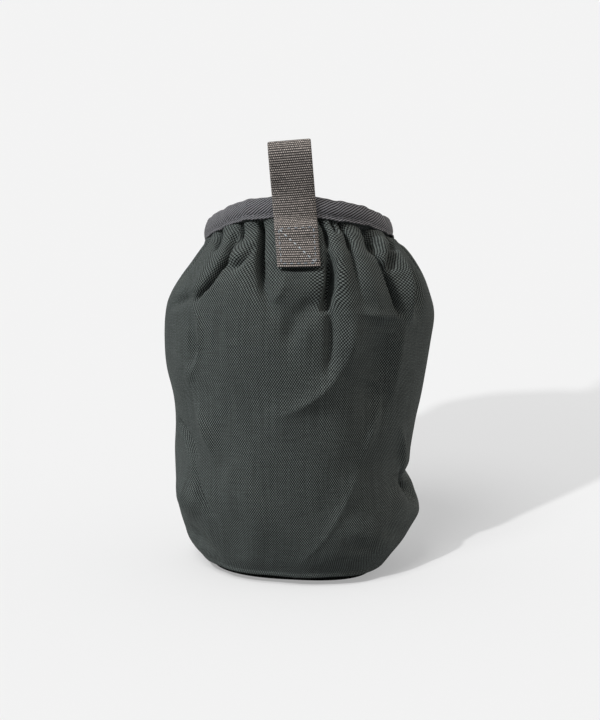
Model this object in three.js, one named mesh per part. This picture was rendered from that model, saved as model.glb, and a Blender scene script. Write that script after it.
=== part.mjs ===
// Bottle pouch: a soft cloth bag that stands up, with a gathered, tape-bound mouth and a webbing loop.
// Millimetres, +Z up, the front faces -Y. The flat underside of the base panel lies on Z = 0.
import * as THREE from "three";

// Thicknesses and clearances
const WALL = 1.4;                  // cloth wall
const TAPE = 0.9;                  // binding tape
const WEBBING = 1.4;               // webbing of the loop
const BASE_FLOOR = 1.6;            // cloth of the base panel
const BASE_LIP = 1.2;              // upturned edge of the base panel
const BASE_LIP_RISE = 4.5;         // how far that edge climbs inside the wall
const BASE_ROUNDING = 1.4;         // inset of the flat underside and floor from the upturned edge
const TAPE_GAP = 0.4;              // clearance between the wall and the tape folded over it
const LIP_GAP = 0.4;               // clearance between the wall and the base panel's lip
const LOOP_GAP = 0.6;              // clearance between the webbing and the wall or tape under it

// Levels are heights at the sides of the pouch; the front of the mouth is lifted above them.
const FOOT_LEVEL = 2.4;            // lower edge of the wall
const RIM_LEVEL = 165.0;           // upper edge of the wall, inside the tape
const TAPE_LOW = 156.9;            // lower edges of the folded tape
const TAPE_SHOULDER = 165.7;       // where the tape starts to fold over
const TAPE_TOP = 166.7;            // top of the fold
const MOUTH_TILT = 15.0;           // front of the mouth up and back down, against the sides
const MOUTH_ARCH_FRONT = 4.0;      // further lift of the front
const MOUTH_ARCH_BACK = 9.0;       // part of the drop that the back does not make
const MOUTH_SKEW = 1.2;            // left front up, right front down
const LIFT_START = 30.0;           // level where the lift begins
const LIFT_FULL = 160.0;           // level where it is complete

// Outer face of the smooth wall. Each row is one level section: how far it reaches to the left and right
// (X), to the front and back (Y), and the power of its outline (2 is an ellipse, more is squarer).
const SECTIONS = [
  { level: 2.4, left: -46.0, right: 39.5, front: -41.0, back: 38.0, power: 2.5 },
  { level: 5.0, left: -50.0, right: 43.5, front: -44.5, back: 41.0, power: 2.4 },
  { level: 10.0, left: -54.0, right: 48.5, front: -48.5, back: 45.0, power: 2.3 },
  { level: 17.0, left: -57.0, right: 53.6, front: -52.0, back: 48.5, power: 2.2 },
  { level: 27.0, left: -59.7, right: 57.5, front: -54.5, back: 51.5, power: 2.15 },
  { level: 41.0, left: -61.0, right: 56.6, front: -56.0, back: 53.0, power: 2.1 },
  { level: 55.0, left: -60.8, right: 55.8, front: -56.5, back: 54.5, power: 2.1 },
  { level: 69.0, left: -60.4, right: 57.0, front: -57.0, back: 55.5, power: 2.1 },
  { level: 82.0, left: -61.5, right: 59.2, front: -57.0, back: 56.0, power: 2.1 },
  { level: 97.0, left: -64.6, right: 61.9, front: -57.0, back: 57.0, power: 2.1 },
  { level: 110.0, left: -65.6, right: 63.6, front: -57.0, back: 57.0, power: 2.1 },
  { level: 122.0, left: -65.0, right: 65.0, front: -56.0, back: 56.0, power: 2.1 },
  { level: 131.0, left: -62.9, right: 63.5, front: -54.5, back: 54.5, power: 2.1 },
  { level: 140.0, left: -58.4, right: 60.2, front: -51.0, back: 51.5, power: 2.05 },
  { level: 147.0, left: -53.2, right: 56.6, front: -47.5, back: 48.0, power: 2.0 },
  { level: 153.0, left: -48.6, right: 51.4, front: -43.5, back: 44.5, power: 2.0 },
  { level: 155.2, left: -46.6, right: 48.4, front: -41.6, back: 42.7, power: 2.0 },
  { level: 156.6, left: -44.9, right: 45.6, front: -40.0, back: 41.4, power: 2.0 },
  { level: 161.0, left: -44.2, right: 44.4, front: -39.3, back: 40.9, power: 2.0 },
  { level: 166.0, left: -43.6, right: 43.4, front: -38.6, back: 40.4, power: 2.0 },
];

// Gathers: pleat valleys that run down from the tape. Angles are in degrees from the front, positive to
// the right: where the valley leaves the tape, where it ends, the level it reaches, its depth and width.
const GATHERS = [
  { top: -84, end: -86, reach: 128, depth: 2.0, width: 3.4 },
  { top: -67, end: -70, reach: 134, depth: 1.8, width: 3.0 },
  { top: -52, end: -50, reach: 146, depth: 1.6, width: 2.4 },
  { top: -41, end: -49, reach: 124, depth: 4.2, width: 3.6 },
  { top: -33, end: -33, reach: 145, depth: 1.5, width: 2.4 },
  { top: -22.5, end: -14.5, reach: 122, depth: 3.2, width: 3.4 },
  { top: 11, end: 13, reach: 108, depth: 3.2, width: 3.6 },
  { top: 20, end: 20, reach: 146, depth: 1.2, width: 2.2 },
  { top: 25, end: 26, reach: 126, depth: 2.6, width: 3.2 },
  { top: 33, end: 44, reach: 118, depth: 3.4, width: 3.6 },
  { top: 42, end: 42, reach: 148, depth: 1.2, width: 2.2 },
  { top: 55, end: 57, reach: 142, depth: 1.8, width: 2.8 },
  { top: 72, end: 75, reach: 132, depth: 2.2, width: 3.2 },
  { top: 90, end: 88, reach: 124, depth: 2.6, width: 3.4 },
  { top: 108, end: 112, reach: 134, depth: 2.2, width: 3.0 },
  { top: 125, end: 123, reach: 118, depth: 3.2, width: 3.6 },
  { top: 143, end: 145, reach: 132, depth: 2.4, width: 3.2 },
  { top: 161, end: 158, reach: 122, depth: 3.0, width: 3.4 },
  { top: 179, end: 181, reach: 134, depth: 2.2, width: 3.2 },
  { top: 197, end: 201, reach: 118, depth: 3.4, width: 3.6 },
  { top: 215, end: 213, reach: 132, depth: 2.4, width: 3.2 },
  { top: 233, end: 236, reach: 124, depth: 3.0, width: 3.4 },
  { top: 256, end: 254, reach: 132, depth: 2.2, width: 3.0 },
];
const GATHER_HIDDEN = 156.6;       // level above which the tape holds the cloth flat
const GATHER_OPEN = 151.5;         // level where a valley has its full depth
const GATHER_SWEEP = 1.5;          // power of the way a valley turns aside: more turns it later
const GATHER_WIDENING = 0.8;       // share by which a valley is wider at its end
const GATHER_FADE = 0.4;           // share of a valley's length after which it grows shallow

// Folds and dents further down. Each path runs over three points, given as angle and level; rise is how
// far the cloth stands out (or in, when negative) and width how far to the side of the path it reaches.
const FOLDS = [
  { path: [[-49, 126], [-43, 113], [-51.5, 94]], rise: -1.6, width: 4.5 },
  { path: [[-88, 71.5], [-64, 67], [-53.5, 58]], rise: -2.2, width: 4.5 },
  { path: [[-54, 58], [-52, 48], [-40, 35]], rise: -1.5, width: 5.0 },
  { path: [[-84, 58], [-70, 50], [-62, 38]], rise: 1.2, width: 9.0 },
  { path: [[-52, 75], [-47, 69], [-41, 62]], rise: 1.0, width: 6.0 },
  { path: [[-5, 127], [-3, 119], [0, 110]], rise: -1.0, width: 7.0 },
  { path: [[4.5, 122], [5, 107], [6, 92]], rise: 0.8, width: 8.0 },
  { path: [[27, 112], [21, 98], [0, 82]], rise: 1.6, width: 7.0 },
  { path: [[37, 120], [38, 103], [40, 86]], rise: -2.6, width: 12.0 },
  { path: [[55, 120], [50, 100], [46, 78]], rise: 1.2, width: 6.0 },
  { path: [[38, 74], [29, 52], [17, 32]], rise: -1.2, width: 7.0 },
  { path: [[62, 42], [80, 47], [112, 52]], rise: -4.6, width: 5.5 },
  { path: [[66, 31], [84, 33], [104, 33]], rise: 2.2, width: 6.5 },
  { path: [[130, 112], [150, 98], [172, 92]], rise: -1.8, width: 8.0 },
  { path: [[196, 70], [214, 62], [238, 66]], rise: -2.0, width: 8.0 },
  { path: [[118, 66], [138, 56], [160, 40]], rise: -1.6, width: 8.0 },
  { path: [[168, 118], [190, 104], [206, 84]], rise: 1.4, width: 9.0 },
];
const FOLD_RADIUS = 58;            // radius that turns angles into distances along the cloth
const FOLD_STEPS = 8;              // straight pieces of a fold's path
const FOLD_END_SHARE = 0.35;       // share of its rise that a fold has at its ends

// Webbing loop, seen from the front: it leans with its top to the left.
const LOOP_WIDTH = 20.0;
const LOOP_FOOT = { x: -0.4, z: 154.4 };     // middle of the lower end
const LOOP_TOP = 211.6;                      // highest point of the outer face
const LOOP_LEAN = 0.0833;                    // sideways shift for each millimetre upwards
const SEWN_EDGE = 1.6;                       // strip of cloth beside the webbing that stays flat
const SEWN_MARGIN = 5.0;                     // distance from the webbing where the cloth is free
const LOOP_BEND = 4.0;                       // half the height of the rounded top
const LOOP_SWELL_FRONT = -41.8;              // Y of the front leg's middle, halfway up the free part
const LOOP_SWELL_BACK = -32.6;               // Y of the back leg's middle there
const LOOP_SWELL_Z = 198.0;
const LOOP_FREE_Z = 187.6;                   // above this the legs leave the rim
const LOOP_FLAT_Z = 197.0;                   // above this they are flat across
const LOOP_LEAD = 6.0;                       // length of a sewn leg that sets how its free part starts
const LOOP_NECK = 0.9;                       // how wide the legs stand at the bend, as a share of the swell
const TAPE_RAMP = 5.0;                       // height over which the webbing climbs onto the tape's lip
const MOUTH_RADIUS = 45;                     // about the wall's radius where the webbing is sewn on
const FRONT_CORRECTIONS = 12;
const FRONT_DAMPING = 0.8;                   // share of the height error that one correction takes out
const SLOPE_REACH = 2.0;                     // distance up and down over which the wall's slope is taken
const LEG_STEPS = 11;
const BEND_STEPS = 12;
const ACROSS_STEPS = 4;

// Resolution of the rings
const COLUMNS = 90;
const BASE_COLUMNS = 45;
const LEVELS = [FOOT_LEVEL, 5, 9, 14, 20, 27, 34, 41, 48, 55, 64, 74, 84, 94, 104, 114, 123, 131, 138,
  144.5, 150.5, 154.4, 156.5, RIM_LEVEL];
const NORMAL_TURN = 0.001;         // small steps, in radians and in level, that give the wall's direction
const NORMAL_CLIMB = 0.02;

const radians = (degrees) => (degrees * Math.PI) / 180;
const clamp01 = (t) => Math.min(1, Math.max(0, t));

function smoothstep(a, b, x) {
  const t = clamp01((x - a) / (b - a));
  return t * t * (3 - 2 * t);
}

// Smooth curve through one column of the section table, at a level.
function sectionValue(column, level) {
  const last = SECTIONS.length - 1;
  let i = 0;
  while (i < last - 1 && level > SECTIONS[i + 1].level) i += 1;
  const slopeAt = (k) => {
    const a = SECTIONS[Math.max(0, k - 1)];
    const b = SECTIONS[Math.min(last, k + 1)];
    return (b[column] - a[column]) / (b.level - a.level);
  };
  const a = SECTIONS[i];
  const b = SECTIONS[i + 1];
  const h = b.level - a.level;
  const t = (level - a.level) / h;
  const keepA = (1 + 2 * t) * (1 - t) * (1 - t);
  const leaveA = t * (1 - t) * (1 - t) * h;
  const keepB = t * t * (3 - 2 * t);
  const reachB = t * t * (t - 1) * h;
  return keepA * a[column] + leaveA * slopeAt(i) + keepB * b[column] + reachB * slopeAt(i + 1);
}

function lift(angle, level) {
  const c = Math.cos(angle);
  const arch = c > 0 ? MOUTH_ARCH_FRONT : MOUTH_ARCH_BACK;
  const whole = MOUTH_TILT * c + arch * c * c - MOUTH_SKEW * Math.sin(2 * angle);
  return whole * smoothstep(LIFT_START, LIFT_FULL, level);
}

// Point of the smooth wall's outer face. The angle is measured from the front, positive to the right.
function smoothWall(angle, level) {
  const left = sectionValue("left", level);
  const right = sectionValue("right", level);
  const front = sectionValue("front", level);
  const back = sectionValue("back", level);
  const power = sectionValue("power", level);
  const c = Math.cos(angle);
  const s = Math.sin(angle);
  const reach = (Math.abs(c) ** power + Math.abs(s) ** power) ** (-1 / power);
  return new THREE.Vector3(
    (left + right) / 2 + ((right - left) / 2) * s * reach,
    (front + back) / 2 - ((back - front) / 2) * c * reach,
    level + lift(angle, level),
  );
}

function smoothNormal(angle, level) {
  const along = smoothWall(angle + NORMAL_TURN, level).sub(smoothWall(angle - NORMAL_TURN, level));
  const up = smoothWall(angle, level + NORMAL_CLIMB).sub(smoothWall(angle, level - NORMAL_CLIMB));
  return along.cross(up).normalize();
}

// Difference of two angles in degrees, taken the short way round.
function turn(a, b) {
  return ((((a - b) % 360) + 540) % 360) - 180;
}

function gatherRise(degrees, level) {
  const opened = 1 - smoothstep(GATHER_OPEN, GATHER_HIDDEN, level);
  let rise = 0;
  for (const { top, end, reach, depth, width } of GATHERS) {
    const t = (GATHER_HIDDEN - level) / (GATHER_HIDDEN - reach);
    if (t < 0 || t > 1) continue;
    const middle = top + (end - top) * t ** GATHER_SWEEP;
    const aside = radians(turn(degrees, middle)) * FOLD_RADIUS;
    const spread = width * (1 + GATHER_WIDENING * t);
    const fade = 1 - smoothstep(GATHER_FADE, 1, t);
    rise -= depth * opened * fade * Math.exp(-((aside / spread) ** 2));
  }
  return rise;
}

// Distance from a fold's path and how far along the path its nearest point lies, from 0 to 1.
function nearestOnPath(path, degrees, level) {
  const [from, via, to] = path;
  const bend = [2 * via[0] - (from[0] + to[0]) / 2, 2 * via[1] - (from[1] + to[1]) / 2];
  const pointAt = (t) => {
    const a = (1 - t) * (1 - t);
    const b = 2 * t * (1 - t);
    const angle = a * from[0] + b * bend[0] + t * t * to[0];
    const height = a * from[1] + b * bend[1] + t * t * to[1];
    return [radians(turn(angle, degrees)) * FOLD_RADIUS, height - level];
  };
  let best = { distance: Infinity, along: 0 };
  for (let i = 0; i < FOLD_STEPS; i += 1) {
    const [ax, ay] = pointAt(i / FOLD_STEPS);
    const [bx, by] = pointAt((i + 1) / FOLD_STEPS);
    const dx = bx - ax;
    const dy = by - ay;
    const t = clamp01(-(ax * dx + ay * dy) / (dx * dx + dy * dy));
    const distance = Math.hypot(ax + t * dx, ay + t * dy);
    if (distance < best.distance) best = { distance, along: (i + t) / FOLD_STEPS };
  }
  return best;
}

function foldRise(degrees, level) {
  let sum = 0;
  for (const { path, rise, width } of FOLDS) {
    const { distance, along } = nearestOnPath(path, degrees, level);
    const taper = FOLD_END_SHARE + (1 - FOLD_END_SHARE) * Math.sin(Math.PI * along);
    sum += rise * taper * Math.exp(-((distance / width) ** 2));
  }
  return sum;
}

function loopCentreX(z) {
  return LOOP_FOOT.x - (z - LOOP_FOOT.z) * LOOP_LEAN;
}

// How free the cloth is to fold: 0 where the webbing is sewn on, 1 away from it.
function freedom(point) {
  if (point.y > 0) return 1;
  const aside = Math.abs(point.x - loopCentreX(point.z)) - LOOP_WIDTH / 2;
  const below = LOOP_FOOT.z - point.z;
  return Math.max(smoothstep(SEWN_EDGE, SEWN_MARGIN, aside), smoothstep(SEWN_EDGE, SEWN_MARGIN, below));
}

// Point of the gathered and folded wall, moved out from its outer face by an offset.
function wallPoint(angle, level, offset) {
  const degrees = (angle * 180) / Math.PI;
  const point = smoothWall(angle, level);
  const rise = (gatherRise(degrees, level) + foldRise(degrees, level)) * freedom(point);
  return point.addScaledVector(smoothNormal(angle, level), rise + offset);
}

// Closed solid from a grid of points: rows of equal length, each row closed on itself. The last row
// joins the first when wrapped; otherwise the first and last rows are closed with caps.
function ringSolid(rows, wrapped) {
  const columns = rows[0].length;
  const points = rows.flat();
  const index = [];
  const bands = wrapped ? rows.length : rows.length - 1;
  for (let r = 0; r < bands; r += 1) {
    const low = r * columns;
    const high = ((r + 1) % rows.length) * columns;
    for (let c = 0; c < columns; c += 1) {
      const next = (c + 1) % columns;
      index.push(low + c, low + next, high + next, low + c, high + next, high + c);
    }
  }
  if (!wrapped) {
    for (const [start, flip] of [[0, true], [(rows.length - 1) * columns, false]]) {
      const centre = points.length;
      const middle = new THREE.Vector3();
      for (let c = 0; c < columns; c += 1) middle.addScaledVector(points[start + c], 1 / columns);
      points.push(middle);
      for (let c = 0; c < columns; c += 1) {
        const next = (c + 1) % columns;
        if (flip) index.push(centre, start + next, start + c);
        else index.push(centre, start + c, start + next);
      }
    }
  }
  const geometry = new THREE.BufferGeometry().setFromPoints(points);
  geometry.setIndex(index);
  geometry.computeVertexNormals();
  return geometry;
}

function ring(columns, pointAt) {
  return Array.from({ length: columns }, (_, c) => pointAt((2 * Math.PI * c) / columns));
}

// The wall: outer face upwards, then inner face downwards.
function bodyGeometry() {
  const outer = LEVELS.map((level) => ring(COLUMNS, (angle) => wallPoint(angle, level, 0)));
  const inner = LEVELS.map((level) => ring(COLUMNS, (angle) => wallPoint(angle, level, -WALL)));
  return ringSolid([...outer, ...inner.reverse()], true);
}

// The tape: a channel folded over the wall's upper edge, drawn once round its section.
function bindingGeometry() {
  const outside = TAPE_GAP + TAPE;
  const inside = -WALL - TAPE_GAP - TAPE;
  const section = [
    [outside, TAPE_LOW],
    [outside, TAPE_SHOULDER],
    [outside - TAPE, TAPE_TOP],
    [inside + TAPE, TAPE_TOP],
    [inside, TAPE_SHOULDER],
    [inside, TAPE_LOW],
    [inside + TAPE, TAPE_LOW],
    [inside + TAPE, TAPE_TOP - TAPE],
    [outside - TAPE, TAPE_TOP - TAPE],
    [outside - TAPE, TAPE_LOW],
  ];
  return ringSolid(section.map(([offset, level]) => ring(COLUMNS, (angle) =>
    smoothWall(angle, level).addScaledVector(smoothNormal(angle, level), offset))), true);
}

// The base: a flat round floor whose edge turns up inside the wall's lower end.
function baseGeometry() {
  const onWall = (level, offset) => ring(BASE_COLUMNS, (angle) => wallPoint(angle, level, offset));
  const outside = -WALL - LIP_GAP;
  const inside = outside - BASE_LIP;
  const lowEdge = onWall(FOOT_LEVEL, outside);
  const lowInside = onWall(FOOT_LEVEL, inside);
  const flat = (points, inset, z) => points.map((p) => {
    const reach = Math.hypot(p.x, p.y);
    return new THREE.Vector3(p.x * (1 - inset / reach), p.y * (1 - inset / reach), z);
  });
  return ringSolid([
    flat(lowEdge, BASE_ROUNDING, 0),
    lowEdge,
    onWall(FOOT_LEVEL + BASE_LIP_RISE, outside),
    onWall(FOOT_LEVEL + BASE_LIP_RISE, inside),
    lowInside,
    flat(lowInside, BASE_ROUNDING, BASE_FLOOR),
  ], false);
}

// Y of the front of the smooth wall at a place seen from the front: the angle and level are corrected
// until the point they give lies at that x and z.
function frontY(x, z) {
  const highest = SECTIONS[SECTIONS.length - 1].level;
  let angle = 0;
  let level = z - MOUTH_TILT;
  let point = smoothWall(angle, level);
  for (let i = 0; i < FRONT_CORRECTIONS; i += 1) {
    angle += (x - point.x) / MOUTH_RADIUS;
    level = Math.min(highest, level + (z - point.z) * FRONT_DAMPING);
    point = smoothWall(angle, level);
  }
  return point.y;
}

// The same place moved straight out of the sloping wall by a distance, seen along Y.
function besideFrontY(x, z, distance) {
  const slope = (frontY(x, z + SLOPE_REACH) - frontY(x, z - SLOPE_REACH)) / (2 * SLOPE_REACH);
  return frontY(x, z) - distance * Math.hypot(1, slope);
}

// How far the tape's lip makes the webbing stand off the wall at a height.
function overTape(z) {
  const lipZ = TAPE_LOW + MOUTH_TILT + MOUTH_ARCH_FRONT;
  return (TAPE_GAP + TAPE) * smoothstep(lipZ - 2 * TAPE_RAMP, lipZ - TAPE_RAMP, z);
}

// The loop: one strip, up the front, over the top and down inside the mouth.
function loopGeometry() {
  const half = WEBBING / 2;
  const outside = (x, z) => besideFrontY(x, z, overTape(z) + LOOP_GAP + half);
  const inside = (x, z) => besideFrontY(x, z, -WALL - overTape(z) - LOOP_GAP - half);
  const middleY = (LOOP_SWELL_FRONT + LOOP_SWELL_BACK) / 2;
  const bendZ = LOOP_TOP - half - LOOP_BEND;

  // A leg: straight up the wall where it is sewn on, then free along a smooth curve from the rim over the
  // swell to the bend. The curve's first stretch only gives its direction and is left out.
  const sewnPoint = (leg, z) => new THREE.Vector3(0, leg(loopCentreX(z), z), z);
  const legPoints = (leg, swellY) => {
    const sewn = Array.from({ length: LEG_STEPS }, (_, i) =>
      sewnPoint(leg, LOOP_FOOT.z + ((LOOP_FREE_Z - LOOP_FOOT.z) * i) / LEG_STEPS));
    const stations = [
      sewnPoint(leg, LOOP_FREE_Z - LOOP_LEAD),
      sewnPoint(leg, LOOP_FREE_Z),
      new THREE.Vector3(0, swellY, LOOP_SWELL_Z),
      new THREE.Vector3(0, middleY + (swellY - middleY) * LOOP_NECK, bendZ),
      new THREE.Vector3(0, middleY, LOOP_TOP - half),
    ];
    const curve = new THREE.CatmullRomCurve3(stations);
    const lead = 1 / (stations.length - 1);
    const free = Array.from({ length: BEND_STEPS }, (_, i) =>
      curve.getPoint(lead + ((1 - lead) * i) / BEND_STEPS));
    return { leg, points: [...sewn, ...free] };
  };
  const front = legPoints(outside, LOOP_SWELL_FRONT);
  const back = legPoints(inside, LOOP_SWELL_BACK);
  const path = [
    ...front.points.map((p) => ({ p, leg: front.leg })),
    { p: new THREE.Vector3(0, middleY, LOOP_TOP - half), leg: front.leg },
    ...back.points.reverse().map((p) => ({ p, leg: back.leg })),
  ];

  const rows = path.map(({ p, leg }, i) => {
    const before = path[Math.max(0, i - 1)].p;
    const after = path[Math.min(path.length - 1, i + 1)].p;
    const run = after.clone().sub(before).normalize();
    const outward = new THREE.Vector3(0, -run.z, run.y);
    const follow = 1 - smoothstep(LOOP_FREE_Z, LOOP_FLAT_Z, p.z);
    const face = (side) => Array.from({ length: ACROSS_STEPS + 1 }, (_, k) => {
      const across = LOOP_WIDTH * (k / ACROSS_STEPS - 0.5);
      const x = loopCentreX(p.z) + across;
      const z = p.z + across * LOOP_LEAN;
      const curved = follow > 0 ? follow * (leg(x, z) - leg(loopCentreX(p.z), p.z)) : 0;
      return new THREE.Vector3(x, p.y + curved, z).addScaledVector(outward, side * half);
    });
    return [...face(1), ...face(-1).reverse()];
  });
  return ringSolid(rows, false);
}

function piece(name, geometry, colour, roughness) {
  const material = new THREE.MeshStandardMaterial({ color: colour, roughness, metalness: 0 });
  const mesh = new THREE.Mesh(geometry, material);
  mesh.name = name;
  return mesh;
}

const pouch = new THREE.Group();
pouch.name = "bottle_pouch";
pouch.add(
  piece("body", bodyGeometry(), "#3c403f", 0.85),
  piece("base_panel", baseGeometry(), "#343736", 0.85),
  piece("rim_binding", bindingGeometry(), "#57575a", 0.9),
  piece("webbing_loop", loopGeometry(), "#625d5b", 0.9),
);

export default pouch;
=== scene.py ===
# %% [markdown]
# # A gathered bottle pouch
# The real pouch is a soft bag that stands by itself: one rectangle of woven nylon sewn into a tube, gathered
# into an elastic tape round the mouth, closed by a flat cloth base, with a loop of ribbed webbing sewn over
# the rim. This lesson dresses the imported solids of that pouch. Lengths are in millimetres until they go into
# a mesh, because cloth, tape and thread are bought by the millimetre.

# %% Load the frame
import math

import bpy
import numpy as np
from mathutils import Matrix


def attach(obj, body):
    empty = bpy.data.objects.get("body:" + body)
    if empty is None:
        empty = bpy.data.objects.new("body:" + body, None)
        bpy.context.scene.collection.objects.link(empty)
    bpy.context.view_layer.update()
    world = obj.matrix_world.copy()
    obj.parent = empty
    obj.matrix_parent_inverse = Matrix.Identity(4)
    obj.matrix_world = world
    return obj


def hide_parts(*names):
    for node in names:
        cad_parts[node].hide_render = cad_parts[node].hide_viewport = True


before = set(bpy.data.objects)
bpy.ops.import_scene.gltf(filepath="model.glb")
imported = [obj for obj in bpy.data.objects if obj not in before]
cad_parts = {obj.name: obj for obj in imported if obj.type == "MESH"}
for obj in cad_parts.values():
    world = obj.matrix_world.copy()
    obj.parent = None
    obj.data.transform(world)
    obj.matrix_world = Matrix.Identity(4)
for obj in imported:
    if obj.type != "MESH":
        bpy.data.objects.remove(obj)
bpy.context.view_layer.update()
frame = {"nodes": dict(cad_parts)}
MM = 0.001
print("solids in the frame:", ", ".join(frame["nodes"]))

# %% [markdown]
# ## The camera
# The photograph was taken from the front and a little above, from far away, so upright lines hardly lean.
# A camera could be placed by eye, but an orbit round the middle of the pouch is easier to check: it is a
# distance, a height angle and a lens.

# %% Place the camera
CAMERA_AIM_Z = 0.100
CAMERA_DISTANCE = 1.200
CAMERA_HEIGHT_ANGLE = math.radians(12)
CAMERA_LENS = 123.6


def new_object(name, data):
    """Object in the scene that holds a mesh, a lamp or a camera."""
    thing = bpy.data.objects.new(name, data)
    bpy.context.scene.collection.objects.link(thing)
    return thing


lens = bpy.data.cameras.new("camera")
lens.lens = CAMERA_LENS
lens.clip_end = 100
camera = new_object("camera", lens)
camera.location = (
    0,
    -CAMERA_DISTANCE * math.cos(CAMERA_HEIGHT_ANGLE),
    CAMERA_AIM_Z + CAMERA_DISTANCE * math.sin(CAMERA_HEIGHT_ANGLE),
)
camera.rotation_euler = (math.pi / 2 - CAMERA_HEIGHT_ANGLE, 0, 0)
bpy.context.scene.camera = camera
print("camera at", [round(v, 3) for v in camera.location])

# %% [markdown]
# ## From a grid of points to a mesh
# Every piece here is a surface over two parameters: round and up the wall, across and along the webbing,
# round and along a stitch. Whole arrays of points are worked out at once, so one helper turns such a grid
# into faces, and one puts points, faces and a map of the cloth into Blender. The map is in millimetres of
# cloth, so that a weave can be drawn with its real thread spacing.

# %% Grid helpers
CLOTH_MAP = "cloth_mm"


def grid_faces(rows, columns, close_rows):
    """Corner numbers of the faces between neighbours; columns close on themselves, rows only if asked."""
    r, c = np.meshgrid(np.arange(rows if close_rows else rows - 1), np.arange(columns), indexing="ij")
    low = r * columns
    high = (r + 1) % rows * columns
    beside = (c + 1) % columns
    return np.stack([low + c, low + beside, high + beside, high + c], axis=-1).reshape(-1, 4)


def end_faces(rows, columns):
    """Two faces with many corners that close the first and the last row of a grid."""
    ring = np.arange(columns)
    return np.stack([ring[::-1], ring + (rows - 1) * columns])


def grid_map(around, along):
    """Cloth map of a grid: each face takes the lengths round and along at its four corners.

    Lengths along have one number for each row; lengths round have one for each column, or for each point.
    """
    u, v = np.broadcast_arrays(around, along[:, None])
    place = np.stack([u, v], axis=-1)
    corners = [place[:-1, :-1], place[:-1, 1:], place[1:, 1:], place[1:, :-1]]
    return np.stack(corners, axis=2).reshape(-1, 2)


def lengths_along(points):
    """Length from the first point of a path to each of its points, for one path or for many."""
    steps = np.linalg.norm(np.diff(points, axis=-2), axis=-1)
    return np.concatenate([np.zeros(steps.shape[:-1] + (1,)), np.cumsum(steps, axis=-1)], axis=-1)


def new_piece(name, points, faces, cloth_map):
    """Mesh object from points in millimetres and arrays of faces, one array for each number of corners."""
    points = points.reshape(-1, 3)
    corners = np.concatenate([f.ravel() for f in faces])
    sizes = np.concatenate([np.full(len(f), f.shape[1]) for f in faces])
    mesh = bpy.data.meshes.new(name)
    mesh.vertices.add(len(points))
    mesh.vertices.foreach_set("co", (points * MM).astype(np.float32).ravel())
    mesh.loops.add(len(corners))
    mesh.loops.foreach_set("vertex_index", corners.astype(np.int32))
    mesh.polygons.add(len(sizes))
    mesh.polygons.foreach_set("loop_start", (np.cumsum(sizes) - sizes).astype(np.int32))
    mesh.polygons.foreach_set("use_smooth", np.ones(len(sizes), dtype=bool))
    mesh.update(calc_edges=True)
    layer = mesh.uv_layers.new(name=CLOTH_MAP)
    layer.uv.foreach_set("vector", cloth_map.astype(np.float32).ravel())
    print(f"{name}: {len(points)} points, {len(sizes)} faces")
    return new_object(name, mesh)


print("every piece will carry a map called", CLOTH_MAP)

# %% [markdown]
# ## The wall without folds
# The cloth wall is a tube whose width and depth change with height: narrow at the foot, full in the middle,
# drawn in under the tape. It could be sculpted, but a short table of sections gives the same outline and
# stays easy to change. Each row tells how far one level reaches to the four sides, and how square it is.
# The mouth leans: its front stands higher than its back, so upper levels are lifted at the front. The foot
# is turned a little: its right front corner stands further forward.

# %% Sections of the wall
SECTIONS = np.array([
    # level, left, right, front, back, power of the outline (2 is an ellipse, more is squarer)
    (2.4, -46, 37.5, -37.5, 38, 2.5),
    (5, -48.8, 41, -45.4, 41, 2.4),
    (10, -54.2, 45.8, -49, 45, 2.3),
    (17, -56.8, 51.8, -52, 48.5, 2.2),
    (27, -59.2, 55.9, -54.5, 51.5, 2.15),
    (41, -60.7, 55, -56, 53, 2.1),
    (55, -60.8, 53.6, -56.5, 54.5, 2.1),
    (69, -60.2, 56, -57, 55.5, 2.1),
    (82, -61.5, 58.8, -57, 56, 2.1),
    (97, -64.6, 61.5, -57, 57, 2.1),
    (110, -65.6, 63.1, -57, 57, 2.1),
    (122, -65, 64.6, -56, 56, 2.1),
    (131, -62.9, 63.2, -54.5, 54.5, 2.1),
    (140, -58.4, 60, -51, 51.5, 2.05),
    (147, -53.2, 55.8, -47.5, 48, 2),
    (153, -48.4, 50.6, -43.5, 44.5, 2),
    (155.2, -46.4, 46.8, -41.4, 42.7, 2),
    (156.6, -44.6, 43.8, -39.8, 41.4, 2),
    (161, -44.2, 42.8, -39.3, 40.9, 2),
    (166, -43.6, 42, -38.6, 40.4, 2),
])
FOOT_LEVEL = SECTIONS[0, 0]
MOUTH_TILT = 15.0  # front of the mouth up and back down, against the sides
MOUTH_ARCH_FRONT = 4.0  # further lift of the front
MOUTH_ARCH_BACK = 9.0  # part of the drop that the back does not make
MOUTH_SKEW = 1.2  # left front up, right front down
MOUTH_RIGHT = 1.8  # further lift of the right side
LIFT_START = 30.0  # level where the lift begins
LIFT_FULL = 160.0  # level where it is complete
FOOT_TURN = 0.17  # how far the foot's right side stands forward, for each millimetre sideways
FOOT_PIVOT = -8.0  # place sideways that the turn leaves alone
FOOT_TURN_TOP = 45.0  # level where the turn has died out
TURN_STEP = 0.001  # small steps that give the wall's directions
LEVEL_STEP = 0.02


def smoothstep(a, b, x):
    """0 below a, 1 above b, and a smooth S between them."""
    t = np.clip((x - a) / (b - a), 0, 1)
    return t * t * (3 - 2 * t)


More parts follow.
